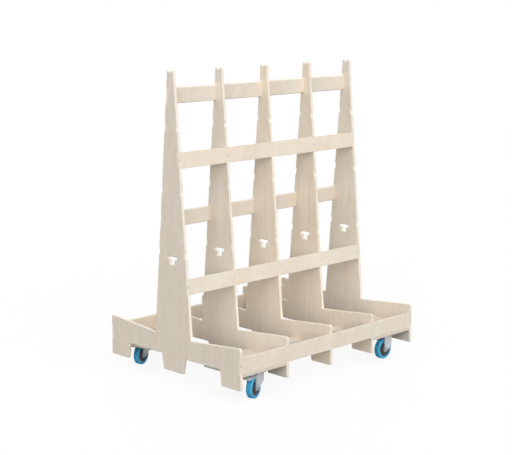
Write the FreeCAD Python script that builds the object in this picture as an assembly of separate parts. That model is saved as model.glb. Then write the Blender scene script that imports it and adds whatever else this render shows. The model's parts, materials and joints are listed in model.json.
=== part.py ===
import FreeCAD, Part
import math
import os

Vector = FreeCAD.Vector
Rotation = FreeCAD.Rotation
Placement = FreeCAD.Placement

# A glazing trolley: plywood ribs with rails, on two turning and two fixed casters.
# Millimetres. The floor is z = 0, the front is -Y, and the turning casters are at -X.

# Overall frame
trolley_length = 1500.0
trolley_depth = 1120.0
sheet = 18.0
rib_count = 5
joint_fit = 0.2
overrun = 30.0
same_point = 1e-6

# Rib outline, heights above the foot bottoms
rib_height = 1740.0
rib_top_width = 53.0
lean_degrees = 4.78
ledge_root_height = 209.0
arch_height = 92.0
middle_foot_width = 200.0
middle_foot_draft = 16.0
end_foot_width = 167.0
end_foot_draft = 10.0
ledge_nose_radius = 15.0
foot_corner_radius = 8.0
inner_corner_radius = 6.0
prong_radius = 3.0
rib_edge_bevel = 2.5
groove_width = 28.0
groove_depth = 12.0

# Slots and notches in a rib
slot_top_height = 680.0
slot_bar_width = 76.0
slot_bar_height = 18.0
slot_stem_width = 36.0
slot_stem_height = 30.0
slot_corner_radius = 3.0
strap_notch_height = 34.0
strap_notch_depth = 8.5
strap_corner_radius = 1.0

# Rails and fascias
rail_width = 92.0
rail_recess = 4.0
rail_levels = 4
lowest_rail_rise = 309.5
highest_rail_drop = 141.5
fascia_height = 94.0
inner_edge_round = 6.0
outer_edge_round = 1.5
seat_corner_fit = 1.0

# Base planks and caster boards
plank_width = 88.0
plank_inner_edge = 243.0
board_drop = 17.0
board_edge_round = 1.5

# Countersunk screws
screw_head_diameter = 9.0
screw_head_depth = 3.0
screw_shank_diameter = 4.4
screw_tip = 6.0
screw_fit = 0.08
rail_screw_length = 60.0
plank_screw_length = 32.0
plank_screw_spread = 240.0

# Wheels
wheel_diameter = 125.0
tyre_width = 35.0
tyre_depth = 14.5
tyre_shoulder = 5.0
rim_wall = 6.0
rim_draft = 2.5
rim_side_step = 1.5
web_thickness = 8.0
wheel_rib_count = 8
wheel_rib_thickness = 4.0
wheel_rib_step = 5.0
hub_length = 40.0
hub_wall = 5.0
hub_shoulder = 4.0
bearing_diameter = 35.0
bearing_width = 11.0
bearing_seat_fit = 0.05
running_fit = 0.05
axle_diameter = 12.0
axle_sleeve_wall = 1.4
axle_bore_fit = 0.1
axle_head_flats = 19.0
axle_head_height = 7.5
axle_nut_height = 10.5
axle_thread_end = 3.0

# Forks
fork_sheet = 3.5
fork_bend = 7.0
hub_side_gap = 2.5
leg_tip_radius = 16.0
leg_flange_depth = 8.0
leg_flange_drop = 10.0
knee_radius = 12.0
wheel_headroom = 13.5
trail = 38.0
turning_leg_front = 42.0
turning_knee_rise = 25.5
fixed_leg_front = 55.0
fixed_knee_rise = 13.5
swivel_degrees = 18.0

# Swivel head and top plates
plate_thickness = 4.0
plate_length = 85.0
plate_width = 105.0
plate_corner_radius = 10.0
plate_hole_x = 60.0
plate_hole_y = 80.0
head_diameter = 66.0
head_thickness = 4.0
race_thickness = 5.0
race_gap = 3.0
ball_diameter = 7.0
ball_circle = 50.0
ball_count = 12
ball_fit = 0.15
kingpin_diameter = 12.0
kingpin_head_diameter = 26.0
kingpin_head_height = 6.0
kingpin_head_gap = 0.3

# Brake
pedal_sheet = 3.0
pedal_reach = 74.0
pedal_width = 57.0
pedal_neck_width = 38.0
pedal_corner_radius = 8.0
pedal_leg_gap = 3.0
pedal_lip = 5.0
pedal_ridge = 1.2
pedal_ridge_width = 3.0
pedal_ridge_count = 3
pedal_pin_diameter = 5.0
pedal_knuckle_wall = 2.0
pedal_knuckle_gap = 0.5
pedal_pin_head = 9.0
pedal_pin_head_height = 2.0
pedal_pivot_behind_axle = 6.0
shoe_gap = 3.0
shoe_length = 16.0
shoe_width = 28.0
shoe_behind_pivot = 6.0

# Caster bolts
bolt_diameter = 8.0
bolt_hole_diameter = 9.0
bolt_head_flats = 13.0
bolt_head_height = 5.3
bolt_nut_height = 8.0
bolt_nut_flange = 17.0
bolt_nut_flange_height = 2.0
bolt_thread_end = 3.0
bolt_to_fascia = 1.5

# Sizes that follow from the ones above
lean = math.radians(lean_degrees)
half_depth = trolley_depth / 2
rib_pitch = (trolley_length - sheet) / (rib_count - 1)
rib_starts = [-trolley_length / 2 + index * rib_pitch for index in range(rib_count)]
rib_centres = [start + sheet / 2 for start in rib_starts]
rail_start_height = ledge_root_height + lowest_rail_rise
rail_pitch = (rib_height - highest_rail_drop - rail_start_height) / (rail_levels - 1)
seat_corner_radius = inner_edge_round - seat_corner_fit
board_bottom = arch_height - board_drop
board_top = board_bottom + sheet
fascia_inner = half_depth - rail_recess - sheet
wheel_radius = wheel_diameter / 2
rim_radius = wheel_radius - tyre_depth
bearing_radius = bearing_diameter / 2
axle_radius = axle_diameter / 2
sleeve_radius = axle_radius + axle_bore_fit + axle_sleeve_wall
fork_inner = hub_length / 2 + hub_side_gap
fork_outer = fork_inner + fork_sheet
crown_bottom = wheel_diameter + wheel_headroom
crown_top = crown_bottom + fork_sheet
head_top = crown_top + head_thickness
race_bottom = head_top + race_gap
plate_bottom = race_bottom + race_thickness
caster_height = plate_bottom + plate_thickness
foot_level = caster_height - board_bottom
kingpin_radius = kingpin_diameter / 2
pedal_pin_radius = pedal_pin_diameter / 2
knuckle_radius = pedal_pin_radius + running_fit + pedal_knuckle_wall
pivot_x = -trail - pedal_pivot_behind_axle
pivot_z = crown_bottom - pedal_knuckle_gap - knuckle_radius
pedal_bottom = pivot_z - knuckle_radius
leg_back = -trail - leg_tip_radius
bolt_head_radius = bolt_head_flats / math.sqrt(3)
caster_y = fascia_inner - bolt_to_fascia - bolt_head_radius - plate_hole_y / 2
left_bay_x = (rib_starts[0] + sheet + rib_starts[1]) / 2
right_bay_x = (rib_starts[-2] + sheet + rib_starts[-1]) / 2
bay_length = rib_pitch - sheet


def rounded_wire(corners):
    """A closed wire through (point, radius) corners, with an arc at each corner that has a radius."""
    count = len(corners)
    edges = []
    joints = []
    for index, (point, radius) in enumerate(corners):
        before = (corners[index - 1][0] - point).normalize()
        after = (corners[(index + 1) % count][0] - point).normalize()
        if radius == 0:
            joints.append((point, None, point))
            continue
        half_angle = before.getAngle(after) / 2
        reach = radius / math.tan(half_angle)
        bulge = radius / math.sin(half_angle) - radius
        middle = point + (before + after).normalize() * bulge
        joints.append((point + before * reach, middle, point + after * reach))
    for index, (start, middle, end) in enumerate(joints):
        if middle is not None:
            edges.append(Part.Arc(start, middle, end).toShape())
        following = joints[(index + 1) % count][0]
        if not end.isEqual(following, same_point):
            edges.append(Part.LineSegment(end, following).toShape())
    return Part.Wire(edges)


def prism(corners, direction):
    """A solid from a rounded outline, pushed along a direction."""
    return Part.Face(rounded_wire(corners)).extrude(direction)


def block(low, high):
    """A box between two corners."""
    low = Vector(*low)
    high = Vector(*high)
    size = high - low
    return Part.makeBox(size.x, size.y, size.z, low)


def rod(radius, start, end):
    """A cylinder between two points."""
    start = Vector(*start)
    axis = Vector(*end) - start
    return Part.makeCylinder(radius, axis.Length, start, axis)


def turned(profile):
    """A solid of revolution about Z from (radius, height) points."""
    points = [Vector(radius, 0, height) for radius, height in profile]
    face = Part.Face(Part.makePolygon(points + points[:1]))
    return face.revolve(Vector(0, 0, 0), Vector(0, 0, 1), 360)


def hexagon(flats, height):
    """A hexagonal prism standing on z = 0."""
    radius = flats / math.sqrt(3)
    turns = [math.radians(60 * side) for side in range(6)]
    points = [Vector(radius * math.cos(turn), radius * math.sin(turn), 0) for turn in turns]
    return Part.Face(Part.makePolygon(points + points[:1])).extrude(Vector(0, 0, height))


def moved(shape, base, rotation=None):
    """A copy of a shape at a new place."""
    copy = shape.copy()
    copy.Placement = Placement(Vector(*base), rotation or Rotation()).multiply(copy.Placement)
    return copy


def mirrored(shape, normal):
    """A copy of a shape on the other side of the trolley's middle."""
    return shape.mirror(Vector(0, 0, 0), Vector(*normal))


def export(name, shapes):
    """Write one node, which may be a group of separate solids."""
    shape = shapes[0] if len(shapes) == 1 else Part.makeCompound(shapes)
    shape.exportStep("parts/" + name + ".step")


def edge_y(height):
    """Half the spine's width at a height above the foot bottoms."""
    return rib_top_width / 2 + (rib_height - height) * math.tan(lean)


def leaning(shape, height):
    """Turn a shape made in the front slope's own frame and set it on the slope at a height.

    In that frame X runs along the trolley, -Y points out of the slope and Z runs up it.
    """
    turn = Rotation(Vector(1, 0, 0), -lean_degrees)
    return moved(shape, (0, -edge_y(height), foot_level + height), turn)


def rail_heights(side):
    """Rail centres on the front (0) or the rear (1): the two sides take turns up the slope."""
    return [rail_start_height + (2 * level + side) * rail_pitch for level in range(rail_levels // 2)]


def strap_heights():
    """Strap notches sit midway between neighbouring rail levels."""
    return [rail_start_height + (level + 1 / 2) * rail_pitch for level in range(rail_levels - 1)]


def screw_solid(length, extra):
    """A countersunk screw along -Z with its head flush at z = 0, or its hole when extra is given."""
    head = screw_head_diameter / 2 + extra
    shank = screw_shank_diameter / 2 + extra
    return turned([
        (0, 0), (head, 0), (shank, -screw_head_depth),
        (shank, -length + screw_tip), (0, -length - extra),
    ])


def rib_outline():
    """Corners of a rib in the YZ plane, from the groove down one side and up the other."""
    root_y = edge_y(ledge_root_height)
    nose_height = ledge_root_height + (half_depth - root_y) * math.tan(lean)
    foot_inner = half_depth - end_foot_width
    half_middle = middle_foot_width / 2
    half = [
        (groove_width / 2, rib_height, 0),
        (rib_top_width / 2, rib_height, prong_radius),
        (root_y, ledge_root_height, inner_corner_radius),
        (half_depth, nose_height, ledge_nose_radius),
        (half_depth, 0, foot_corner_radius),
        (foot_inner + end_foot_draft, 0, foot_corner_radius),
        (foot_inner, arch_height, inner_corner_radius),
        (half_middle, arch_height, inner_corner_radius),
        (half_middle - middle_foot_draft, 0, foot_corner_radius),
    ]
    other = [(-y, z, radius) for y, z, radius in reversed(half)]
    groove = [(0, rib_height - groove_depth, 0)]
    return [(Vector(0, y, foot_level + z), radius) for y, z, radius in groove + half + other]


def slot_outline():
    """Corners of the T-shaped slot."""
    bar = slot_bar_width / 2
    stem = slot_stem_width / 2
    top = foot_level + slot_top_height
    step = top - slot_bar_height
    low = step - slot_stem_height
    ring = [(bar, top), (bar, step), (stem, step), (stem, low)]
    ring += [(-y, z) for y, z in reversed(ring)]
    return [(Vector(0, y, z), slot_corner_radius) for y, z in ring]


def slope_notch(height, length, depth, radius):
    """The cutter of a notch in the front slope of one rib, with rounded inner corners."""
    half = length / 2
    corners = [
        (Vector(0, -overrun, -half), 0), (Vector(0, depth, -half), radius),
        (Vector(0, depth, half), radius), (Vector(0, -overrun, half), 0),
    ]
    return leaning(prism(corners, Vector(sheet, 0, 0)), height)


def strap_notch(height):
    return slope_notch(height, strap_notch_height, strap_notch_depth, strap_corner_radius)


def rail_seat(height):
    return slope_notch(height, rail_width + joint_fit * 2, rail_recess + sheet, seat_corner_radius)


def fascia_seat():
    """The cutter that seats the fascia on the foot of one rib."""
    low = foot_level + board_top
    high = low + fascia_height + joint_fit
    outer = -half_depth - overrun
    corners = [
        (Vector(0, outer, low), 0), (Vector(0, -fascia_inner, low), seat_corner_radius),
        (Vector(0, -fascia_inner, high), seat_corner_radius), (Vector(0, outer, high), 0),
    ]
    return prism(corners, Vector(sheet, 0, 0))


def rail_screw_place(height):
    """Where a rail's screw head lies on the front side, and the way it faces."""
    normal = Vector(0, -math.cos(lean), math.sin(lean))
    surface = Vector(0, -edge_y(height), foot_level + height) - normal * rail_recess
    return surface, normal


def fascia_screw_place():
    """Where a fascia's screw head lies on the front side, and the way it faces."""
    height = foot_level + board_top + fascia_height / 2
    return Vector(0, rail_recess - half_depth, height), Vector(0, -1, 0)


def screw_at(place, x, extra):
    """A rail or fascia screw, or its hole, at a place on the front side."""
    surface, normal = place
    turn = Rotation(Vector(0, 0, 1), normal)
    return moved(screw_solid(rail_screw_length, extra), surface + Vector(x, 0, 0), turn)


def side_cuts(side):
    """Everything cut from a rib's front (0) or rear (1) side after its edges are bevelled."""
    cuts = [fascia_seat()] + [strap_notch(height) for height in strap_heights()]
    notch_low = (0, -plank_inner_edge - plank_width - joint_fit, foot_level + board_bottom)
    notch_high = (sheet, joint_fit - plank_inner_edge, foot_level + board_top + sheet)
    cuts.append(block(notch_low, notch_high))
    places = [rail_screw_place(height) for height in rail_heights(side)]
    cuts += [rail_seat(height) for height in rail_heights(side)]
    cuts += [screw_at(place, sheet / 2, screw_fit) for place in places + [fascia_screw_place()]]
    return cuts if side == 0 else [mirrored(cut, (0, 1, 0)) for cut in cuts]


def rib():
    """One rib with its outer faces at x = 0 and x = sheet."""
    run = Vector(sheet, 0, 0)
    body = prism(rib_outline(), run).cut(prism(slot_outline(), run))
    rims = [edge for edge in body.Edges if edge.BoundBox.XLength < sheet / 2]
    body = body.makeChamfer(rib_edge_bevel, rims)
    return body.cut(side_cuts(0) + side_cuts(1))


def softened(board, radius):
    """Round over every edge of a board."""
    return board.makeFillet(radius, board.Edges)


def long_board(low, high):
    """A board along X, rounded over more on its inner side, which faces +Y."""
    body = block(low, high)
    middle = low[1] + sheet / 2
    inner = [edge for edge in body.Edges if edge.BoundBox.XLength > sheet and edge.BoundBox.YMin > middle]
    body = body.makeFillet(inner_edge_round, inner)
    rest = [edge for edge in body.Edges if edge.BoundBox.XLength < sheet or edge.BoundBox.YMax < middle]
    return body.makeFillet(outer_edge_round, rest)


def rail(side, height):
    """One rail with its screw holes."""
    half = rail_width / 2
    low = (-trolley_length / 2, rail_recess, -half)
    high = (trolley_length / 2, rail_recess + sheet, half)
    body = leaning(long_board(low, high), height)
    body = body.cut([screw_at(rail_screw_place(height), x, screw_fit) for x in rib_centres])
    return body if side == 0 else mirrored(body, (0, 1, 0))


def fascia(side):
    """The long board across the ends of the arms."""
    low = (-trolley_length / 2, rail_recess - half_depth, foot_level + board_top)
    high = (trolley_length / 2, -fascia_inner, foot_level + board_top + fascia_height)
    body = long_board(low, high)
    body = body.cut([screw_at(fascia_screw_place(), x, screw_fit) for x in rib_centres])
    return body if side == 0 else mirrored(body, (0, 1, 0))


def plank_screw_places():
    """Head places of the screws that hold the front plank down on its two boards."""
    y = -plank_inner_edge - plank_width / 2
    spread = plank_screw_spread / 2
    xs = [bay + offset for bay in (left_bay_x, right_bay_x) for offset in (-spread, spread)]
    return [(x, y, foot_level + board_top + sheet) for x in xs]


def plank(side):
    """The plank that lies in the notches of all the ribs."""
    low = (-trolley_length / 2, -plank_inner_edge - plank_width, foot_level + board_top)
    high = (trolley_length / 2, -plank_inner_edge, foot_level + board_top + sheet)
    hole = screw_solid(plank_screw_length, screw_fit)
    body = softened(block(low, high), board_edge_round)
    body = body.cut([moved(hole, place) for place in plank_screw_places()])
    return body if side == 0 else mirrored(body, (0, 1, 0))


def bolt_offsets():
    """Bolt places about the middle of a caster plate."""
    return [(x * plate_hole_x / 2, y * plate_hole_y / 2) for x in (-1, 1) for y in (-1, 1)]


def caster_board(side, bay_x):
    """The board that carries a caster, with the fascia standing on its front."""
    ends = bay_length / 2 - joint_fit
    z = foot_level + board_bottom
    outer = rail_recess - half_depth
    body = block((bay_x - ends, outer, z), (bay_x + ends, -plank_inner_edge, z + sheet))
    body = softened(body, board_edge_round)
    hole = screw_solid(plank_screw_length, screw_fit)
    cuts = [moved(hole, place) for place in plank_screw_places()]
    for x, y in bolt_offsets():
        spot = Vector(bay_x + x, y - caster_y, z - overrun)
        cuts.append(rod(bolt_hole_diameter / 2, spot, spot + Vector(0, 0, sheet + overrun * 2)))
    body = body.cut(cuts)
    return body if side == 0 else mirrored(body, (0, 1, 0))


def caster_bolt():
    """A hexagon bolt through the board and the plate, its head on the board."""
    head = hexagon(bolt_head_flats, bolt_head_height)
    grip = sheet + plate_thickness + bolt_nut_height + bolt_thread_end
    return head.fuse(rod(bolt_diameter / 2, (0, 0, -grip), (0, 0, bolt_head_height)))


def caster_nut():
    """A flange nut hanging down from z = 0."""
    flange = rod(bolt_nut_flange / 2, (0, 0, -bolt_nut_flange_height), (0, 0, 0))
    body = moved(hexagon(bolt_head_flats, bolt_nut_height), (0, 0, -bolt_nut_height))
    bore = rod(bolt_diameter / 2 + screw_fit, (0, 0, -overrun), (0, 0, overrun))
    return body.fuse(flange).cut(bore)


def plate_blank():
    """A caster's top plate with its four holes."""
    x = plate_length / 2
    y = plate_width / 2
    ring = [(-x, -y), (x, -y), (x, y), (-x, y)]
    corners = [(Vector(px, py, plate_bottom), plate_corner_radius) for px, py in ring]
    body = prism(corners, Vector(0, 0, plate_thickness))
    holes = [rod(bolt_hole_diameter / 2, (px, py, 0), (px, py, caster_height + overrun))
             for px, py in bolt_offsets()]
    return body.cut(holes)


def ball_groove(z):
    """The ring groove that the swivel balls run in."""
    return Part.makeTorus(ball_circle / 2, ball_diameter / 2 + ball_fit, Vector(0, 0, z))


def ball_height():
    return head_top + race_gap / 2


def swivel_balls():
    ball = Part.makeSphere(ball_diameter / 2, Vector(ball_circle / 2, 0, ball_height()))
    turns = [360 * index / ball_count for index in range(ball_count)]
    return [moved(ball, (0, 0, 0), Rotation(Vector(0, 0, 1), turn)) for turn in turns]


def swivel_plate():
    bore = rod(kingpin_radius + screw_fit, (0, 0, 0), (0, 0, caster_height + overrun))
    return plate_blank().cut(bore)


def upper_race():
    body = rod(head_diameter / 2, (0, 0, race_bottom), (0, 0, plate_bottom))
    bore = rod(kingpin_radius + screw_fit, (0, 0, 0), (0, 0, caster_height))
    return body.cut([bore, ball_groove(ball_height())])


def kingpin():
    head_high = crown_bottom - kingpin_head_gap
    head = rod(kingpin_head_diameter / 2, (0, 0, head_high - kingpin_head_height), (0, 0, head_high))
    return head.fuse(rod(kingpin_radius, (0, 0, head_high - kingpin_head_height), (0, 0, caster_height)))


def leg_outline(back, front, axle_x, knee_rise, top):
    """Side view of a fork: straight back edge, round tip at the axle, slanted lower front edge."""
    knee = Vector(front, 0, wheel_radius + knee_rise)
    away = Vector(axle_x, 0, wheel_radius) - knee
    swing = math.asin(leg_tip_radius / away.Length)
    slant = math.tan(math.atan2(away.z, away.x) + swing)
    tip = Vector(back, 0, knee.z + (back - front) * slant)
    return [
        (Vector(back, 0, top), 0), (tip, leg_tip_radius),
        (knee, knee_radius), (Vector(front, 0, top), 0),
    ]


def channel(back, front, top):
    """A pressed channel over the wheel, open at the bottom, along X."""
    floor_z = wheel_radius - leg_tip_radius
    outer = [
        (Vector(back, -fork_outer, floor_z), 0), (Vector(back, fork_outer, floor_z), 0),
        (Vector(back, fork_outer, top), fork_bend), (Vector(back, -fork_outer, top), fork_bend),
    ]
    low = floor_z - overrun
    bend = fork_bend - fork_sheet
    inner = [
        (Vector(back, -fork_inner, low), 0), (Vector(back, fork_inner, low), 0),
        (Vector(back, fork_inner, top - fork_sheet), bend),
        (Vector(back, -fork_inner, top - fork_sheet), bend),
    ]
    run = Vector(front - back, 0, 0)
    return prism(outer, run).cut(prism(inner, run))


def leg_flanges(back, top):
    """Outward flanges that stiffen the straight back edges of both legs."""
    high = top - fork_bend - leg_flange_drop / 2
    out = fork_outer + leg_flange_depth
    inside = fork_outer - fork_sheet
    points = [(inside, wheel_radius), (fork_outer, wheel_radius), (out, wheel_radius + leg_flange_drop),
              (out, high - leg_flange_drop), (fork_outer, high), (inside, high)]
    corners = [(Vector(back, y, z), 0) for y, z in points]
    flange = prism(corners, Vector(fork_sheet, 0, 0))
    return [flange, mirrored(flange, (0, 1, 0))]


def fork_body(back, front, axle_x, knee_rise, top):
    """A pressed fork with its axle hole."""
    side = leg_outline(back, front, axle_x, knee_rise, top)
    slab = moved(prism(side, Vector(0, fork_outer * 2, 0)), (0, -fork_outer, 0))
    body = channel(back, front, top).common(slab)
    body = body.fuse(leg_flanges(back, top))
    reach = fork_outer + overrun
    hole = rod(axle_radius + axle_bore_fit, (axle_x, -reach, wheel_radius), (axle_x, reach, wheel_radius))
    return body.cut(hole)


def turning_fork():
    body = fork_body(leg_back, turning_leg_front, -trail, turning_knee_rise, crown_top)
    body = body.fuse(rod(head_diameter / 2, (0, 0, crown_top - fork_sheet), (0, 0, head_top)))
    bore = rod(kingpin_radius + running_fit, (0, 0, crown_bottom - overrun), (0, 0, head_top + overrun))
    reach = fork_outer + overrun
    pin_hole = rod(pedal_pin_radius + screw_fit, (pivot_x, -reach, pivot_z), (pivot_x, reach, pivot_z))
    return body.cut([bore, pin_hole, ball_groove(ball_height())])


def fixed_fork():
    """A fork welded straight under its plate, with the axle below the plate's middle."""
    body = fork_body(-leg_tip_radius, fixed_leg_front, 0, fixed_knee_rise, plate_bottom)
    return body.fuse(plate_blank())


def on_axle(shape, axle_x):
    """Lay a shape made about Z along the axle, its top towards +Y."""
    return moved(shape, (axle_x, 0, wheel_radius), Rotation(Vector(1, 0, 0), -90))


def tyre():
    half = tyre_width / 2
    corners = [
        (Vector(rim_radius, 0, -half), 0), (Vector(wheel_radius, 0, -half), tyre_shoulder),
        (Vector(wheel_radius, 0, half), tyre_shoulder), (Vector(rim_radius, 0, half), 0),
    ]
    return Part.Face(rounded_wire(corners)).revolve(Vector(0, 0, 0), Vector(0, 0, 1), 360)


def rim():
    """Plastic wheel centre: hub with bearing seats, web with ribs, and the rim under the tyre."""
    seat = bearing_radius + bearing_seat_fit
    hub = seat + hub_wall
    hub_half = hub_length / 2
    step = hub_half - bearing_width
    half = tyre_width / 2 - rim_side_step
    web = web_thickness / 2
    inner = rim_radius - rim_wall
    upper = [
        (seat - hub_shoulder, step), (seat, step), (seat, hub_half), (hub, hub_half), (hub, web),
        (inner - rim_draft, web), (inner, half), (rim_radius, half),
    ]
    lower = [(radius, -height) for radius, height in reversed(upper)]
    body = turned(upper + lower)
    middle = (seat + hub) / 2
    reach = (inner + rim_radius) / 2
    thick = wheel_rib_thickness / 2
    high = half - wheel_rib_step
    spoke = block((middle, -thick, -high), (reach, thick, high))
    turns = [360 * index / wheel_rib_count for index in range(wheel_rib_count)]
    spokes = [moved(spoke, (0, 0, 0), Rotation(Vector(0, 0, 1), turn)) for turn in turns]
    return body.fuse(spokes)


def bearings():
    """The two ball bearings in the hub, each as one ring."""
    low = hub_length / 2 - bearing_width
    ring = rod(bearing_radius, (0, 0, low), (0, 0, hub_length / 2))
    ring = ring.cut(rod(sleeve_radius + running_fit, (0, 0, 0), (0, 0, hub_length)))
    return [ring, ring.mirror(Vector(0, 0, 0), Vector(0, 0, 1))]


def axle_sleeve():
    outer = rod(sleeve_radius, (0, 0, -fork_inner), (0, 0, fork_inner))
    return outer.cut(rod(axle_radius + axle_bore_fit, (0, 0, -fork_outer), (0, 0, fork_outer)))


def axle_bolt():
    """Hexagon bolt with its head on the -Y side."""
    head = moved(hexagon(axle_head_flats, axle_head_height), (0, 0, -fork_outer - axle_head_height))
    end = fork_outer + axle_nut_height + axle_thread_end
    return head.fuse(rod(axle_radius, (0, 0, -fork_outer - axle_head_height), (0, 0, end)))


def axle_nut():
    body = moved(hexagon(axle_head_flats, axle_nut_height), (0, 0, fork_outer))
    return body.cut(rod(axle_radius + axle_bore_fit, (0, 0, 0), (0, 0, fork_outer + overrun)))


def pedal_pin():
    outer = fork_outer + pedal_pin_head_height
    shank = rod(pedal_pin_radius, (pivot_x, -outer, pivot_z), (pivot_x, outer, pivot_z))
    heads = []
    for side in (-1, 1):
        start = (pivot_x, side * fork_outer, pivot_z)
        heads.append(rod(pedal_pin_head / 2, start, (pivot_x, side * outer, pivot_z)))
    return shank.fuse(heads)


def brake_pedal():
    """Pressed foot pedal that turns on its pin behind the fork."""
    end = pivot_x - pedal_reach
    step = leg_back - pedal_leg_gap
    wide = pedal_width / 2
    neck = pedal_neck_width / 2
    ring = [(end, -wide, pedal_corner_radius), (step, -wide, pedal_corner_radius), (step, -neck, 0),
            (pivot_x, -neck, 0)]
    ring += [(x, -y, radius) for x, y, radius in reversed(ring)]
    corners = [(Vector(x, y, pedal_bottom), radius) for x, y, radius in ring]
    body = prism(corners, Vector(0, 0, pedal_sheet))
    lip_half = wide - pedal_corner_radius
    lip = block((end, -lip_half, pedal_bottom - pedal_lip), (end + pedal_sheet, lip_half, pedal_bottom))
    knuckle = rod(knuckle_radius, (pivot_x, -neck, pivot_z), (pivot_x, neck, pivot_z))
    ridges = []
    pad = (step - end) / (pedal_ridge_count + 1)
    top = pedal_bottom + pedal_sheet
    for index in range(pedal_ridge_count):
        x = end + pad * (index + 1)
        ridges.append(block((x - pedal_ridge_width / 2, -lip_half, top - pedal_sheet / 2),
                            (x + pedal_ridge_width / 2, lip_half, top + pedal_ridge)))
    body = body.fuse([lip, knuckle] + ridges)
    bore = rod(pedal_pin_radius + running_fit, (pivot_x, -wide, pivot_z), (pivot_x, wide, pivot_z))
    return body.cut(bore)


def brake_shoe():
    """The block under the pedal that grips the tyre."""
    front = pivot_x - shoe_behind_pivot
    half = shoe_width / 2
    body = block((front - shoe_length, -half, wheel_radius), (front, half, pedal_bottom))
    hollow = rod(wheel_radius + shoe_gap, (-trail, -half - overrun, wheel_radius),
                 (-trail, half + overrun, wheel_radius))
    return body.cut(hollow)


def build_frame():
    """Ribs, rails, fascias, planks, boards and their screws."""
    one_rib = rib()
    for number, start in enumerate(rib_starts, 1):
        export("rib_%d" % number, [moved(one_rib, (start, 0, 0))])
    rail_screws = []
    fascia_screws = []
    for side, side_name in enumerate(("front", "rear")):
        places = []
        for height, level in zip(rail_heights(side), ("lower", "upper")):
            export("%s_%s_rail" % (side_name, level), [rail(side, height)])
            places.append(rail_screw_place(height))
        export(side_name + "_fascia", [fascia(side)])
        export(side_name + "_base_plank", [plank(side)])
        screws = [screw_at(place, x, 0) for place in places for x in rib_centres]
        edge_screws = [screw_at(fascia_screw_place(), x, 0) for x in rib_centres]
        if side == 1:
            screws = [mirrored(screw, (0, 1, 0)) for screw in screws]
            edge_screws = [mirrored(screw, (0, 1, 0)) for screw in edge_screws]
        rail_screws += screws
        fascia_screws += edge_screws
    export("rail_screws", rail_screws)
    export("fascia_screws", fascia_screws)
    front = [moved(screw_solid(plank_screw_length, 0), place) for place in plank_screw_places()]
    export("plank_screws", front + [mirrored(screw, (0, 1, 0)) for screw in front])


def build_turning_caster(name, y):
    """A turning caster with its brake, at the left end."""
    turn = Rotation(Vector(0, 0, 1), swivel_degrees)

    def turned_place(shape):
        return moved(shape, (left_bay_x, y, 0), turn)

    export(name + "_top_plate", [moved(swivel_plate(), (left_bay_x, y, 0))])
    export(name + "_fork", [turned_place(turning_fork())])
    export(name + "_swivel_balls", [turned_place(ball) for ball in swivel_balls()])
    export(name + "_axle_bolt", [turned_place(on_axle(axle_bolt(), -trail))])
    export(name + "_axle_nut", [turned_place(on_axle(axle_nut(), -trail))])
    export(name + "_axle_sleeve", [turned_place(on_axle(axle_sleeve(), -trail))])
    export(name + "_pedal_pin", [turned_place(pedal_pin())])
    export(name + "_brake_pedal", [turned_place(brake_pedal())])
    export(name + "_brake_shoe", [turned_place(brake_shoe())])
    build_wheel(name, lambda shape: turned_place(on_axle(shape, -trail)))


def build_wheel(name, place):
    """Rim, tyre and bearings of one wheel."""
    export(name + "_rim", [place(rim())])
    export(name + "_tyre", [place(tyre())])
    export(name + "_bearings", [place(bearing) for bearing in bearings()])


def build_casters():
    """All four casters, with their boards, bolts and nuts."""
    sides = (("front", 0, -caster_y), ("rear", 1, caster_y))
    bolts = []
    nuts = []
    axles = {"bolts": [], "nuts": [], "sleeves": []}
    for side_name, side, y in sides:
        build_turning_caster(side_name + "_left", y)
        right = side_name + "_right"
        export(right + "_fork", [moved(fixed_fork(), (right_bay_x, y, 0))])

        def on_fixed_axle(shape):
            return moved(on_axle(shape, 0), (right_bay_x, y, 0))

        build_wheel(right, on_fixed_axle)
        axles["bolts"].append(on_fixed_axle(axle_bolt()))
        axles["nuts"].append(on_fixed_axle(axle_nut()))
        axles["sleeves"].append(on_fixed_axle(axle_sleeve()))
        for bay, bay_x in (("left", left_bay_x), ("right", right_bay_x)):
            export("%s_%s_caster_board" % (side_name, bay), [caster_board(side, bay_x)])
            for dx, dy in bolt_offsets():
                bolts.append(moved(caster_bolt(), (bay_x + dx, y + dy, foot_level + board_top)))
                nuts.append(moved(caster_nut(), (bay_x + dx, y + dy, plate_bottom)))
    export("caster_bolts", bolts)
    export("caster_nuts", nuts)
    export("kingpins", [moved(kingpin(), (left_bay_x, y, 0)) for _, _, y in sides])
    export("upper_races", [moved(upper_race(), (left_bay_x, y, 0)) for _, _, y in sides])
    for piece, shapes in axles.items():
        export("fixed_axle_" + piece, shapes)


os.makedirs("parts", exist_ok=True)
build_frame()
build_casters()
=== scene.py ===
import json
import math
from collections import namedtuple

import bmesh
import bpy
from mathutils import Matrix, Vector

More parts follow.
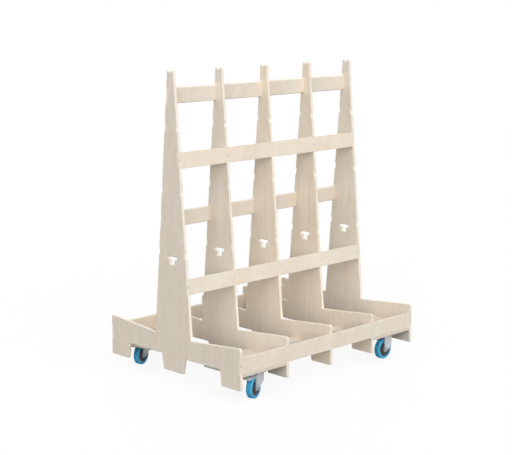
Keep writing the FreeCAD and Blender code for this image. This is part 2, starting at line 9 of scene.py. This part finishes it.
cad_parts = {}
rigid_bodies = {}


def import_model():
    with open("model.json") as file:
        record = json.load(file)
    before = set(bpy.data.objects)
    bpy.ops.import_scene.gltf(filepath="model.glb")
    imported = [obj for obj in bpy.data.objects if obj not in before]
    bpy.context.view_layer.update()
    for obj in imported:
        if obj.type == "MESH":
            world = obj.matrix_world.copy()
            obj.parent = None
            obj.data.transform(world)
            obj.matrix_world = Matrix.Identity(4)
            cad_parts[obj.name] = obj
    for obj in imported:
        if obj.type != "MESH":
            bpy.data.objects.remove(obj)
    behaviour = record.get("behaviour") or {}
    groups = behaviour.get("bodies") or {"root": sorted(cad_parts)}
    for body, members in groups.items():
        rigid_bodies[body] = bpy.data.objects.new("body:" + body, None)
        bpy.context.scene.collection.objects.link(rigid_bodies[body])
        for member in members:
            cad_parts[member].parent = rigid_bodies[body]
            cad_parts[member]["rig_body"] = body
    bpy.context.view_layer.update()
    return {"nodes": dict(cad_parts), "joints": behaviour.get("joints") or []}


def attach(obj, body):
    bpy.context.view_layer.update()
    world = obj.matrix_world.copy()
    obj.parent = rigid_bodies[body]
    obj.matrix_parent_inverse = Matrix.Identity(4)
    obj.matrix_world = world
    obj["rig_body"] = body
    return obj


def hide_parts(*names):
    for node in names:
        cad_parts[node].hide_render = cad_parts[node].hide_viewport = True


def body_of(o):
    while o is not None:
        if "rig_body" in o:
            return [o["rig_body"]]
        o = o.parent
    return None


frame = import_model()
nodes = frame["nodes"]

# Camera, in metres and degrees, fitted to the photograph
PHOTO_WIDTH = 512
FOCAL_PIXELS = 1345.5
SENSOR_MM = 36.0
CAMERA_PLACE = (-5.737, -5.676, 2.311)
CAMERA_YAW = 44.948
CAMERA_PITCH = 10.354
CAMERA_REACH = 200.0

# Light: an even room, and broad lamps with the direction that each shines from and its width in degrees
Lamp = namedtuple("Lamp", "name source strength width")
ROOM = 0.57
LAMPS = [
    Lamp("low_beside_camera", (-0.696, -0.696, 0.174), 1.27, 60.0),
    Lamp("high_beside_camera", (-0.542, -0.542, 0.643), 0.93, 60.0),
    Lamp("front", (0.0, -0.978, 0.208), 1.36, 60.0),
    Lamp("left", (-0.95, -0.17, 0.26), 0.455, 60.0),
    Lamp("behind", (0.69, 0.72, 0.08), 1.5, 30.0),
]
WHITE = (1, 1, 1, 1)
FLOOR_SIZE = 60.0
FLOOR_GLOW = 0.88
FLOOR_SEEN = (250, 250, 250)
FLOOR_BOUNCE = (22, 21, 20)

# Colours as screen values from 0 to 255
BIRCH_LIGHT = (234, 226, 213)
BIRCH_MIDDLE = (228, 218, 204)
BIRCH_DARK = (219, 207, 191)
BIRCH_FLECK = (192, 170, 146)
BIRCH_PINK = (255, 251, 248)
BIRCH_GREY = (252, 253, 252)
PLY_LIGHT = (244, 238, 228)
PLY_DARK = (229, 218, 201)
GLUE = (186, 158, 126)
SHEET_TONES = [(255, 255, 255), (251, 252, 253), (255, 253, 250), (253, 251, 248), (250, 251, 252)]
# The caster boards are a little darker and greyer than the other sheets: painted shade, for the shadow under the
# fascia.
CASTER_BOARD_PAINTED_SHADE = (232, 230, 228)

# Plywood edges: thickness in metres, number of plies, and the share of a ply that its glue line takes
SHEET = 0.018
PLY_COUNT = 13
GLUE_WIDTH = 0.1
GLUE_STRENGTH = 0.4
SPECKLE_RATE = 900.0
CROSSED_SHARE = 0.7
SPECKLE_SHARE = 0.3
PLY_STOPS = (0.1, 0.9)

# Figure of the veneer: bends per metre along and across, their sway, then changes per metre across the grain
Figure = namedtuple("Figure", "along_bends side_bends sway bands streaks blush")
RIB_FIGURE = Figure(1.3, 3.5, 0.10, 20.0, 75.0, 34.0)
BOARD_FIGURE = Figure(3.0, 1.6, 0.20, 6.0, 50.0, 18.0)
ARCH_RATE = 90.0

# Lines in the veneer: changes per metre along the grain, an offset of the seed, and fineness, then rates across
Lines = namedtuple("Lines", "along offset detail")
BANDS = Lines(0.6, 3.0, 3.0)
STREAKS = Lines(2.5, 5.0, 3.0)
FIBRES = Lines(16.0, 7.0, 2.0)
BLUSH = Lines(0.9, 11.0, 2.0)
FLECKS = Lines(70.0, 13.0, 2.0)
FIBRE_RATE = 560.0
FLECK_RATE = 700.0

# How the lines make up the colour and the surface of the veneer
BAND_SHARE = 0.4
STREAK_SHARE = 0.4
FIBRE_SHARE = 0.2
ARCH_SHARE = 0.045
TONE_STOPS = (0.24, 0.5, 0.76)
BLUSH_STOPS = (0.33, 0.67)
FLECK_STOPS = (0.68, 0.76)
FLECK_STRENGTH = 0.25
FIBRE_STOPS = (0.2, 0.8)
WOOD_ROUGHNESS = (0.58, 0.74)
WOOD_BUMP = 0.2
WOOD_BUMP_DEPTH = 0.0004
WOOD_GLOSS = 0.2
SEED_START = 1.0
SEED_STEP = 7.0

# Plain materials: two tones, the size of their clouds in metres, roughness, bump, metal and gloss
Finish = namedtuple("Finish", "light dark grain roughness bump metallic gloss", defaults=(0.0, 0.5))
FINISHES = {
    "zinc_plate": Finish((206, 209, 213), (182, 186, 191), 0.02, (0.34, 0.5), 0.1, metallic=0.35),
    "bright_steel": Finish((186, 190, 196), (150, 154, 160), 0.006, (0.28, 0.44), 0.1, metallic=0.7),
    # The pedal's zinc is lighter than the plate zinc: painted light, so that the pedal under the board shows as
    # brightly lit.
    "pedal_zinc": Finish((232, 235, 238), (212, 216, 220), 0.02, (0.36, 0.52), 0.1),
    "tyre_rubber": Finish((80, 182, 224), (64, 162, 208), 0.03, (0.5, 0.66), 0.12, gloss=0.25),
    "rim_nylon": Finish((96, 97, 98), (72, 72, 73), 0.01, (0.42, 0.56), 0.15),
    "shoe_rubber": Finish((52, 52, 54), (32, 32, 34), 0.006, (0.6, 0.75), 0.2),
}
CLOUD_DETAIL = 4
CLOUD_ROUGHNESS = 0.6
CLOUD_SHARE = 0.75
CLOUD_STOPS = (0.25, 0.75)
FINE_RATE = 12
FINE_SHARE = 0.25
FINISH_STOPS = (0.3, 0.7)
FINISH_BUMP_DEPTH = 0.0003

# Which plain material the carried-over nodes have, by the endings of their names
NODE_FINISHES = {
    "zinc_plate": ("_fork", "_plate"),
    # The pedals take the lighter zinc, which is painted light.
    "pedal_zinc": ("_pedal",),
    "tyre_rubber": ("_tyre",),
    "rim_nylon": ("_rim",),
    "shoe_rubber": ("_shoe",),
    "bright_steel": ("_pin", "kingpins", "races", "_balls", "bearings", "_sleeve", "_sleeves"),
}

# Countersunk screws, in millimetres. The rows of the cross recess are width, reach and depth.
SCREW_HEAD = 4.5
SCREW_HEAD_DEPTH = 3.0
SCREW_RIM = 0.15
SCREW_SHANK = 2.2
SCREW_TIP = 6.0
SCREW_POINT = 0.2
SCREW_RECESS = [(1.5, 2.6, 0.0), (1.3, 2.45, 0.25), (1.0, 1.5, 1.6)]
SCREW_RECESS_END = (0.25, 2.0)
RAIL_SCREW_LENGTH = 60.0
PLANK_SCREW_LENGTH = 32.0

# Bolts of the caster plates and of the wheel axles, in millimetres
Bolt = namedtuple("Bolt", "flats head radius length pitch")
PLATE_BOLT = Bolt(13.0, 5.3, 4.0, 33.0, 1.25)
AXLE_BOLT = Bolt(19.0, 7.5, 6.0, 65.5, 1.75)
HEAD_EDGE = 0.4
HEAD_DISH = 0.25
HEAD_DISH_SHARE = 0.55
BEVEL_SHARE = 0.475
BEVEL_ANGLE = 30
THREAD_SHOWN = 4.0
THREAD_DEPTH_SHARE = 0.55
THREAD_RINGS = 8
END_LEAD_SHARE = 1 / 3
END_DEPTH_SHARE = 0.6

# Flange nuts of the plate bolts, and lock nuts of the axles, in millimetres
NUT_HEIGHT = 8.0
NUT_BORE_GAP = 0.08
NUT_CHAMFER = 0.5
FLANGE_RADIUS = 8.5
FLANGE_RIM = 1.1
FLANGE_NECK = 7.2
FLANGE_HEIGHT = 2.0
LOCK_HEIGHT = 10.5
LOCK_BORE_GAP = 0.1
LOCK_EDGE = 0.5
LOCK_CHAMFER = 0.6
COLLAR_START_SHARE = 0.74
COLLAR_INSET = 0.4
COLLAR_ROUND = (1.4, 1.2)

# Mesh work: points in a ring, and tolerances in metres and degrees
MILLIMETRE = 0.001
RING_POINTS = 48
SAME_POINT = 1e-6
SAME_PLANE = 1e-5
NEARLY_UPRIGHT = 0.1
SHARP_ANGLE = 32

UP = Vector((0, 0, 1))
ALONG_X = Vector((1, 0, 0))
ACROSS_BOARD = Vector((0.42, 0, 0.91))
ACROSS_BASE = Vector((0.42, 0.91, 0))


def linear(colour):
    """Scene-linear RGBA from screen values."""
    parts = [value / 255 for value in colour]
    scale = [part / 12.92 if part <= 0.04045 else ((part + 0.055) / 1.055) ** 2.4 for part in parts]
    return (*scale, 1.0)


class Shader:
    """The node tree of a material or the world, with short ways to add what is needed below."""

    def __init__(self, owner):
        owner.use_nodes = True
        self.owner = owner
        self.tree = owner.node_tree

    def feed(self, socket, value):
        if isinstance(value, bpy.types.NodeSocket):
            self.tree.links.new(value, socket)
        else:
            socket.default_value = value

    def add(self, kind, inputs=(), **settings):
        node = self.tree.nodes.new(kind)
        for key, value in settings.items():
            setattr(node, key, value)
        for key, value in dict(inputs).items():
            self.feed(node.inputs[key], value)
        return node

    def place(self):
        return self.add("ShaderNodeTexCoord").outputs["Object"]

    def maths(self, operation, *values):
        return self.add("ShaderNodeMath", enumerate(values), operation=operation).outputs[0]

    def times(self, first, second):
        return self.maths("MULTIPLY", first, second)

    def plus(self, first, second):
        return self.maths("ADD", first, second)

    def dot(self, vector, axis):
        inputs = {0: vector, 1: tuple(axis)}
        return self.add("ShaderNodeVectorMath", inputs, operation="DOT_PRODUCT").outputs["Value"]

    def point(self, x, y, z):
        return self.add("ShaderNodeCombineXYZ", {0: x, 1: y, 2: z}).outputs[0]

    def noise(self, vector, scale=1.0, detail=2.0, roughness=0.5):
        inputs = {"Vector": vector, "Scale": scale, "Detail": detail, "Roughness": roughness}
        return self.add("ShaderNodeTexNoise", inputs).outputs["Fac"]

    def ramp(self, factor, positions, *colours):
        node = self.add("ShaderNodeValToRGB", {"Fac": factor})
        elements = node.color_ramp.elements
        while len(elements) < len(colours):
            elements.new(0.5)
        for element, position, colour in zip(elements, positions, colours):
            element.position = position
            element.color = linear(colour)
        return node.outputs["Color"]

    def range(self, value, stops, low=0.0, high=1.0):
        start, end = stops
        inputs = {"Value": value, "From Min": start, "From Max": end, "To Min": low, "To Max": high}
        return self.add("ShaderNodeMapRange", inputs).outputs["Result"]

    def mix(self, factor, first, second, blend="MIX"):
        node = self.add("ShaderNodeMix", data_type="RGBA", blend_type=blend)
        self.feed(node.inputs[0], factor)
        self.feed(node.inputs[6], first)
        self.feed(node.inputs[7], second)
        return node.outputs[2]

    def seen(self):
        """One where the camera, a reflection or glass looks, and zero for the light that fills the scene."""
        path = self.add("ShaderNodeLightPath").outputs
        mirrored = self.maths("MAXIMUM", path["Is Glossy Ray"], path["Is Transmission Ray"])
        return self.maths("MAXIMUM", path["Is Camera Ray"], mirrored)

    def finish(self, colour, roughness, height, bump, depth, metallic, gloss):
        """Connect the surface: colour, roughness and bump vary over it, metallic and gloss don't."""
        normal = self.add("ShaderNodeBump", {"Height": height, "Strength": bump, "Distance": depth})
        surface = self.tree.nodes["Principled BSDF"]
        self.feed(surface.inputs["Base Color"], colour)
        self.feed(surface.inputs["Roughness"], roughness)
        self.feed(surface.inputs["Metallic"], metallic)
        self.feed(surface.inputs["Specular IOR Level"], gloss)
        self.feed(surface.inputs["Normal"], normal.outputs[0])
        return self.owner


def new_shader(name):
    return Shader(bpy.data.materials.new(name))


def sheet_normal(mesh):
    """The direction through a board: the one that most of its surface faces."""
    areas = {}
    for polygon in mesh.polygons:
        key = tuple(round(abs(part), 2) for part in polygon.normal)
        area, normal = areas.get(key, (0, polygon.normal))
        areas[key] = (area + polygon.area, normal)
    return max(areas.values(), key=lambda entry: entry[0])[1].normalized()


def veneer_face(shader, lines, figure, arches, fibres):
    """The colour of the outer veneer."""
    bands = lines(BANDS, figure.bands)
    streaks = lines(STREAKS, figure.streaks)
    flecks = shader.range(lines(FLECKS, FLECK_RATE), FLECK_STOPS)
    tone = shader.plus(shader.times(bands, BAND_SHARE), shader.times(streaks, STREAK_SHARE))
    tone = shader.plus(tone, shader.times(fibres, FIBRE_SHARE))
    tone = shader.plus(tone, shader.times(arches, ARCH_SHARE))
    face = shader.ramp(tone, TONE_STOPS, BIRCH_DARK, BIRCH_MIDDLE, BIRCH_LIGHT)
    tint = shader.ramp(lines(BLUSH, figure.blush), BLUSH_STOPS, BIRCH_PINK, BIRCH_GREY)
    face = shader.mix(1.0, face, tint, "MULTIPLY")
    return shader.mix(shader.times(flecks, FLECK_STRENGTH), face, linear(BIRCH_FLECK))


def ply_edge(shader, place, layers):
    """The colour of the plies and glue lines where an edge cuts through the board."""
    crossed = shader.maths("ABSOLUTE", shader.maths("MODULO", shader.maths("FLOOR", layers), 2.0))
    speckle = shader.noise(place, scale=SPECKLE_RATE)
    tone = shader.plus(shader.times(crossed, CROSSED_SHARE), shader.times(speckle, SPECKLE_SHARE))
    edge = shader.ramp(tone, PLY_STOPS, PLY_LIGHT, PLY_DARK)
    glue = shader.maths("LESS_THAN", shader.maths("FRACT", layers), GLUE_WIDTH)
    return shader.mix(shader.times(glue, GLUE_STRENGTH), edge, linear(GLUE))


def plywood(node, grain, figure, tone, seed):
    """Birch plywood as a solid texture: figured outer veneers, and plies where the edges cut through."""
    mesh = nodes[node].data
    through = sheet_normal(mesh)
    grain = (grain - through * grain.dot(through)).normalized()
    start = min(through.dot(vertex.co) for vertex in mesh.vertices)
    shader = new_shader(node + "_plywood")
    place = shader.place()
    along = shader.dot(place, grain)
    side = shader.dot(place, grain.cross(through))
    depth = shader.maths("SUBTRACT", shader.dot(place, through), start)
    bends = shader.point(shader.times(along, figure.along_bends), shader.times(side, figure.side_bends), seed)
    swirl = shader.noise(bends)
    flow = shader.plus(side, shader.times(shader.maths("SUBTRACT", swirl, 0.5), figure.sway))
    arches = shader.maths("SINE", shader.times(swirl, ARCH_RATE))

    def lines(kind, across):
        vector = shader.point(shader.times(along, kind.along), shader.times(flow, across), seed + kind.offset)
        return shader.noise(vector, detail=kind.detail)

    ply = SHEET / PLY_COUNT
    fibres = lines(FIBRES, FIBRE_RATE)
    face = veneer_face(shader, lines, figure, arches, fibres)
    edge = ply_edge(shader, place, shader.maths("DIVIDE", depth, ply))
    off_middle = shader.maths("ABSOLUTE", shader.maths("SUBTRACT", depth, SHEET / 2))
    veneer = shader.maths("GREATER_THAN", off_middle, SHEET / 2 - ply)
    colour = shader.mix(veneer, edge, face)
    # The sheet tone multiplies the colour; on the caster boards this tone is painted shade.
    colour = shader.mix(1.0, colour, linear(tone), "MULTIPLY")
    roughness = shader.range(fibres, FIBRE_STOPS, *WOOD_ROUGHNESS)
    return shader.finish(colour, roughness, fibres, WOOD_BUMP, WOOD_BUMP_DEPTH, 0.0, WOOD_GLOSS)


def mottled(name):
    """A plain material with a fine cloudy tone: plated steel, moulded plastic or rubber."""
    finish = FINISHES[name]
    shader = new_shader(name)
    place = shader.place()
    clouds = shader.noise(place, 1 / finish.grain, CLOUD_DETAIL, CLOUD_ROUGHNESS)
    fine = shader.noise(place, FINE_RATE / finish.grain)
    tone = shader.plus(shader.times(clouds, CLOUD_SHARE), shader.times(fine, FINE_SHARE))
    colour = shader.ramp(tone, FINISH_STOPS, finish.dark, finish.light)
    roughness = shader.range(clouds, CLOUD_STOPS, *finish.roughness)
    return shader.finish(colour, roughness, fine, finish.bump, FINISH_BUMP_DEPTH, finish.metallic, finish.gloss)


def dress(node, material):
    """Give a carried-over node its material."""
    mesh = nodes[node].data
    mesh.materials.clear()
    mesh.materials.append(material)


def dress_plywood():
    """Give each board its own piece of plywood, with the grain upright in ribs and slanted in the long boards."""
    ribs = [name for name in nodes if name.startswith("rib_")]
    upright = [name for name in nodes if name.endswith(("_rail", "_fascia"))]
    flat = [name for name in nodes if name.endswith(("_plank", "_board"))]
    groups = [(ribs, UP, RIB_FIGURE), (upright, ACROSS_BOARD, BOARD_FIGURE), (flat, ACROSS_BASE, BOARD_FIGURE)]
    boards = [(name, grain, figure) for names, grain, figure in groups for name in sorted(names)]
    for count, (name, grain, figure) in enumerate(boards):
        # The caster boards take a darker colour, painted shade for the shadow under the fascia, in place of a
        # sheet tone.
        tone = CASTER_BOARD_PAINTED_SHADE if name.endswith("_board") else SHEET_TONES[count % len(SHEET_TONES)]
        dress(name, plywood(name, grain, figure, tone, count * SEED_STEP + SEED_START))


def dress_casters(materials):
    for name in nodes:
        for finish, endings in NODE_FINISHES.items():
            if name.endswith(endings):
                dress(name, materials[finish])


def ring(radius, height):
    """Points round Z. The radius and the height are numbers or follow the angle."""
    points = []
    for step in range(RING_POINTS):
        angle = 2 * math.pi * step / RING_POINTS
        reach = radius(angle) if callable(radius) else radius
        rise = height(angle) if callable(height) else height
        points.append(Vector((reach * math.cos(angle), reach * math.sin(angle), rise)))
    return points


def hexagon(flats):
    """The radius of a hexagon at an angle, with a corner at angle zero."""
    sixth = math.pi / 3
    return lambda angle: flats / 2 / math.cos(angle % sixth - sixth / 2)


def bevelled(flats, top):
    """The height of a hexagon's upper rim where a cone bevels its corners."""
    outline = hexagon(flats)
    circle = flats * BEVEL_SHARE
    return lambda angle: top - max(0.0, outline(angle) - circle) * math.tan(math.radians(BEVEL_ANGLE))


def cross(width, length):
    """The radius of a cross-shaped recess at an angle."""
    quarter = math.pi / 2

    def radius(angle):
        off = abs((angle + quarter / 2) % quarter - quarter / 2)
        tip = length / math.cos(off)
        return min(tip, width / 2 / math.sin(off)) if off > 0 else tip
    return radius


def thread(radius, pitch, low, high):
    """Rings of a helical thread."""
    depth = pitch * THREAD_DEPTH_SHARE
    steps = max(2, round((high - low) / pitch * THREAD_RINGS))

    def groove(height):
        def at(angle):
            phase = (height / pitch - angle / (2 * math.pi)) % 1.0
            return radius - depth * abs(2 * phase - 1)
        return at
    heights = [low + (high - low) * step / steps for step in range(steps + 1)]
    return [ring(groove(height), height) for height in heights]


def screw_rings(length):
    """A countersunk screw with a cross recess, its head flush at z = 0."""
    body = [
        ring(SCREW_POINT, -length), ring(SCREW_SHANK, SCREW_TIP - length), ring(SCREW_SHANK, -SCREW_HEAD_DEPTH),
        ring(SCREW_HEAD, -SCREW_RIM), ring(SCREW_HEAD - SCREW_RIM, 0),
    ]
    recess = [ring(cross(width, reach), -depth) for width, reach, depth in SCREW_RECESS]
    radius, depth = SCREW_RECESS_END
    return body + recess + [ring(radius, -depth)]


def bolt_rings(bolt):
    """A hexagon bolt whose head ends at z = 0 and whose thread shows at the far end."""
    outline = hexagon(bolt.flats)
    circle = bolt.flats * BEVEL_SHARE
    end = -bolt.head - bolt.length
    shown = end + THREAD_SHOWN
    start = [ring(bolt.radius - bolt.pitch * END_DEPTH_SHARE, end)]
    turns = thread(bolt.radius, bolt.pitch, end + bolt.pitch * END_LEAD_SHARE, shown)
    return start + turns + [
        ring(bolt.radius, shown + bolt.pitch), ring(bolt.radius, -bolt.head), ring(circle, -bolt.head),
        ring(outline, -bolt.head + HEAD_EDGE), ring(outline, bevelled(bolt.flats, 0)),
        ring(circle, 0), ring(circle * HEAD_DISH_SHARE, -HEAD_DISH),
    ]


def flange_nut_rings():
    """A flange nut that stands on z = 0."""
    flats = PLATE_BOLT.flats
    outline = hexagon(flats)
    circle = flats * BEVEL_SHARE
    bore = PLATE_BOLT.radius + NUT_BORE_GAP
    return [
        ring(bore, 0), ring(FLANGE_RADIUS, 0), ring(FLANGE_RADIUS, FLANGE_RIM),
        ring(lambda angle: max(outline(angle), FLANGE_NECK), FLANGE_HEIGHT),
        ring(outline, FLANGE_HEIGHT + HEAD_EDGE), ring(outline, bevelled(flats, NUT_HEIGHT)),
        ring(circle, NUT_HEIGHT), ring(bore + NUT_CHAMFER, NUT_HEIGHT), ring(bore, NUT_HEIGHT - NUT_CHAMFER),
    ]


def lock_nut_rings():
    """A lock nut with a round collar, standing on z = 0."""
    flats = AXLE_BOLT.flats
    outline = hexagon(flats)
    circle = flats * BEVEL_SHARE
    bore = AXLE_BOLT.radius + LOCK_BORE_GAP
    shoulder = LOCK_HEIGHT * COLLAR_START_SHARE
    inset, drop = COLLAR_ROUND
    return [
        ring(bore, 0), ring(circle, 0), ring(outline, LOCK_EDGE), ring(outline, bevelled(flats, shoulder)),
        ring(circle, shoulder), ring(circle - COLLAR_INSET, LOCK_HEIGHT - drop), ring(circle - inset, LOCK_HEIGHT),
        ring(bore + LOCK_CHAMFER, LOCK_HEIGHT), ring(bore, LOCK_HEIGHT - LOCK_CHAMFER),
    ]


def islands(node):
    """The separate solids of a node, each as a list of points."""
    shape = bmesh.new()
    shape.from_mesh(nodes[node].data)
    bmesh.ops.remove_doubles(shape, verts=shape.verts, dist=SAME_POINT)
    left = set(shape.verts)
    groups = []
    while left:
        border = [left.pop()]
        group = []
        while border:
            vert = border.pop()
            group.append(vert.co.copy())
            reached = {edge.other_vert(vert) for edge in vert.link_edges} & left
            left -= reached
            border += reached
        groups.append(group)
    shape.free()
    return groups


def end_face(points, direction):
    """The middle of a solid's end in a direction."""
    top = max(point.dot(direction) for point in points)
    face = [point for point in points if top - point.dot(direction) < SAME_PLANE]
    low = Vector([min(values) for values in zip(*face)])
    high = Vector([max(values) for values in zip(*face)])
    return (low + high) / 2


def stand_in(node, rings, spots, material, hollow=False):
    """A finer piece in the place of a CAD node, with one lofted form at each (place, axis) spot."""
    shape = bmesh.new()
    for place, axis in spots:
        hint = axis.cross(UP)
        hint = hint.normalized() if hint.length > NEARLY_UPRIGHT else ALONG_X
        turn = Matrix((hint, axis.cross(hint), axis)).transposed().to_4x4()
        matrix = Matrix.Translation(place) @ turn @ Matrix.Scale(MILLIMETRE, 4)
        rows = [[shape.verts.new(matrix @ point) for point in points] for points in rings]
        for low, high in zip(rows, rows[1:] + rows[:1] if hollow else rows[1:]):
            for index in range(RING_POINTS):
                after = (index + 1) % RING_POINTS
                shape.faces.new((low[index], low[after], high[after], high[index]))
        if not hollow:
            shape.faces.new(rows[0])
            shape.faces.new(rows[-1])
    bmesh.ops.recalc_face_normals(shape, faces=shape.faces)
    mesh = bpy.data.meshes.new(node + "_detail")
    shape.to_mesh(mesh)
    shape.free()
    mesh.shade_smooth()
    mesh.set_sharp_from_angle(angle=math.radians(SHARP_ANGLE))
    mesh.materials.append(material)
    piece = bpy.data.objects.new(node + "_detail", mesh)
    bpy.context.collection.objects.link(piece)
    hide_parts(node)
    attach(piece, body_of(nodes[node])[0])


def outward(node):
    """The way that a front screw faces: out of the board that it holds."""
    normal = sheet_normal(nodes[node].data)
    return normal if normal.y < 0 else -normal


def flipped(direction):
    return Vector((direction.x, -direction.y, direction.z))


def screw_spots(node, front):
    """Head places of the front and rear screws of a node."""
    spots = []
    for points in islands(node):
        axis = front if sum(point.y for point in points) < 0 else flipped(front)
        spots.append((end_face(points, axis), axis))
    return spots


def end_spots(node, end, axis):
    """The places of the solids of a node: the end that each has in a direction, and the axis of its form."""
    return [(end_face(points, end), axis) for points in islands(node)]


def add_screws(steel):
    long_screw = screw_rings(RAIL_SCREW_LENGTH)
    for node, board in (("rail_screws", "front_lower_rail"), ("fascia_screws", "front_fascia")):
        stand_in(node, long_screw, screw_spots(node, outward(board)), steel)
    plank_screw = screw_rings(PLANK_SCREW_LENGTH)
    stand_in("plank_screws", plank_screw, end_spots("plank_screws", UP, UP), steel)


def add_bolts(steel):
    bolts, nuts = "caster_bolts", "caster_nuts"
    stand_in(bolts, bolt_rings(PLATE_BOLT), end_spots(bolts, UP, UP), steel)
    stand_in(nuts, flange_nut_rings(), end_spots(nuts, UP, -UP), steel, hollow=True)

    sets = [
        ("front_left_axle_bolt", "front_left_axle_nut", "front_left_wheel_spin"),
        ("rear_left_axle_bolt", "rear_left_axle_nut", "rear_left_wheel_spin"),
        ("fixed_axle_bolts", "fixed_axle_nuts", "front_right_wheel_spin"),
    ]
    axes = {joint["name"]: Vector(joint["axis"]).normalized() for joint in frame["joints"]}
    for bolts, nuts, joint in sets:
        axis = axes[joint] if axes[joint].y > 0 else -axes[joint]
        stand_in(bolts, bolt_rings(AXLE_BOLT), end_spots(bolts, -axis, -axis), steel)
        stand_in(nuts, lock_nut_rings(), end_spots(nuts, -axis, axis), steel, hollow=True)


def add_camera():
    data = bpy.data.cameras.new("camera")
    data.sensor_fit = "HORIZONTAL"
    data.sensor_width = SENSOR_MM
    data.lens = FOCAL_PIXELS / PHOTO_WIDTH * SENSOR_MM
    data.clip_end = CAMERA_REACH
    camera = bpy.data.objects.new("camera", data)
    camera.location = CAMERA_PLACE
    camera.rotation_euler = (math.radians(90 - CAMERA_PITCH), 0, math.radians(-CAMERA_YAW))
    bpy.context.collection.objects.link(camera)
    bpy.context.scene.camera = camera


def add_world():
    """An even room that is plain white where it is seen."""
    world = bpy.data.worlds.new("studio")
    shader = Shader(world)
    strength = shader.range(shader.seen(), (0.0, 1.0), ROOM, 1.0)
    background = shader.tree.nodes["Background"]
    shader.feed(background.inputs["Color"], WHITE)
    shader.feed(background.inputs["Strength"], strength)
    bpy.context.scene.world = world


def add_lamps():
    for lamp in LAMPS:
        data = bpy.data.lights.new(lamp.name, "SUN")
        data.energy = lamp.strength
        data.angle = math.radians(lamp.width)
        sun = bpy.data.objects.new(lamp.name, data)
        sun.rotation_euler = Vector(lamp.source).to_track_quat("Z", "Y").to_euler()
        bpy.context.collection.objects.link(sun)


def floor_paper():
    """White to the camera with a faint shadow, and dim for the light that it sends back up."""
    shader = new_shader("floor_paper")
    paper = shader.add("ShaderNodeBsdfDiffuse", {"Color": linear(FLOOR_SEEN)}).outputs[0]
    glow = shader.add("ShaderNodeEmission", {"Color": WHITE, "Strength": 1.0}).outputs[0]
    bounce = shader.add("ShaderNodeBsdfDiffuse", {"Color": linear(FLOOR_BOUNCE)}).outputs[0]
    white = shader.add("ShaderNodeMixShader", {0: FLOOR_GLOW, 1: paper, 2: glow}).outputs[0]
    both = shader.add("ShaderNodeMixShader", {0: shader.seen(), 1: bounce, 2: white}).outputs[0]
    shader.feed(shader.tree.nodes["Material Output"].inputs["Surface"], both)
    return shader.owner


def add_floor():
    mesh = bpy.data.meshes.new("floor")
    shape = bmesh.new()
    bmesh.ops.create_grid(shape, x_segments=1, y_segments=1, size=FLOOR_SIZE / 2)
    shape.to_mesh(mesh)
    shape.free()
    floor = bpy.data.objects.new("floor", mesh)
    bpy.context.collection.objects.link(floor)
    mesh.materials.append(floor_paper())


plain_materials = {name: mottled(name) for name in FINISHES}
dress_plywood()
dress_casters(plain_materials)
add_screws(plain_materials["bright_steel"])
add_bolts(plain_materials["bright_steel"])
add_camera()
add_world()
add_lamps()
add_floor()
bpy.context.scene.view_settings.view_transform = "Standard"
